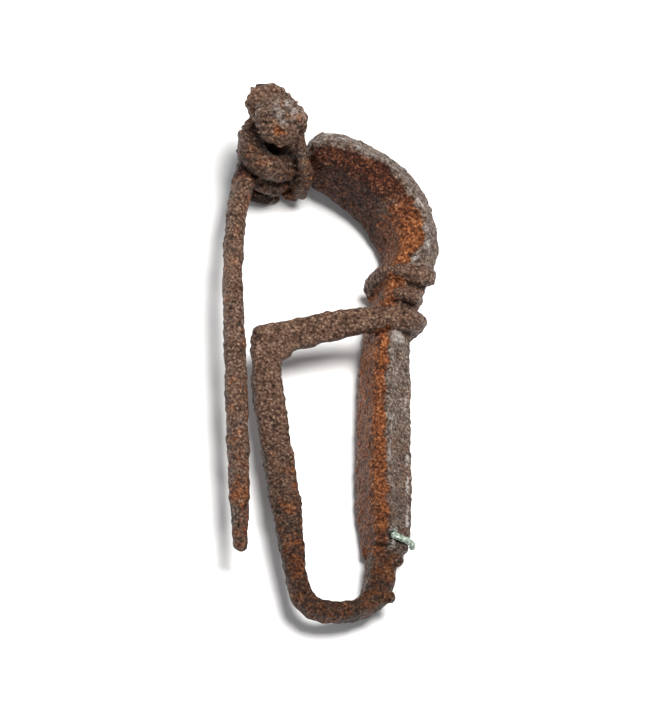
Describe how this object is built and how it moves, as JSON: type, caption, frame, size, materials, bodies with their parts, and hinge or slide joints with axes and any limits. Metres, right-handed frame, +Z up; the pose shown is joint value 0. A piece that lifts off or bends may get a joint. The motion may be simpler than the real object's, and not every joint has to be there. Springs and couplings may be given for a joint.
{
  "type": "fibula brooch",
  "caption": "Corroded iron bow brooch with a coiled spring, a long pin, a returned foot and wire wraps at its collar, lying on its side.",
  "frame": {"origin": "middle of the brooch's footprint, on the surface it lies on", "axes": "+Y runs along the brooch from the foot's bend to the spring, +X points away from the pin, +Z is up"},
  "size_m": [0.0282, 0.0724, 0.016],
  "materials": {
    "rusted_iron": "corroded wrought iron, orange rust in the hollows and grey-brown crust on the edges",
    "rusted_iron_wire": "corroded iron wire, dull brown with grey glints",
    "green_copper_alloy": "copper alloy turned pale green"
  },
  "bodies": {
    "root": {"bow": "rusted_iron", "spring_pin": "rusted_iron_wire", "foot_ring_scrap": "green_copper_alloy"}
  },
  "joints": []
}
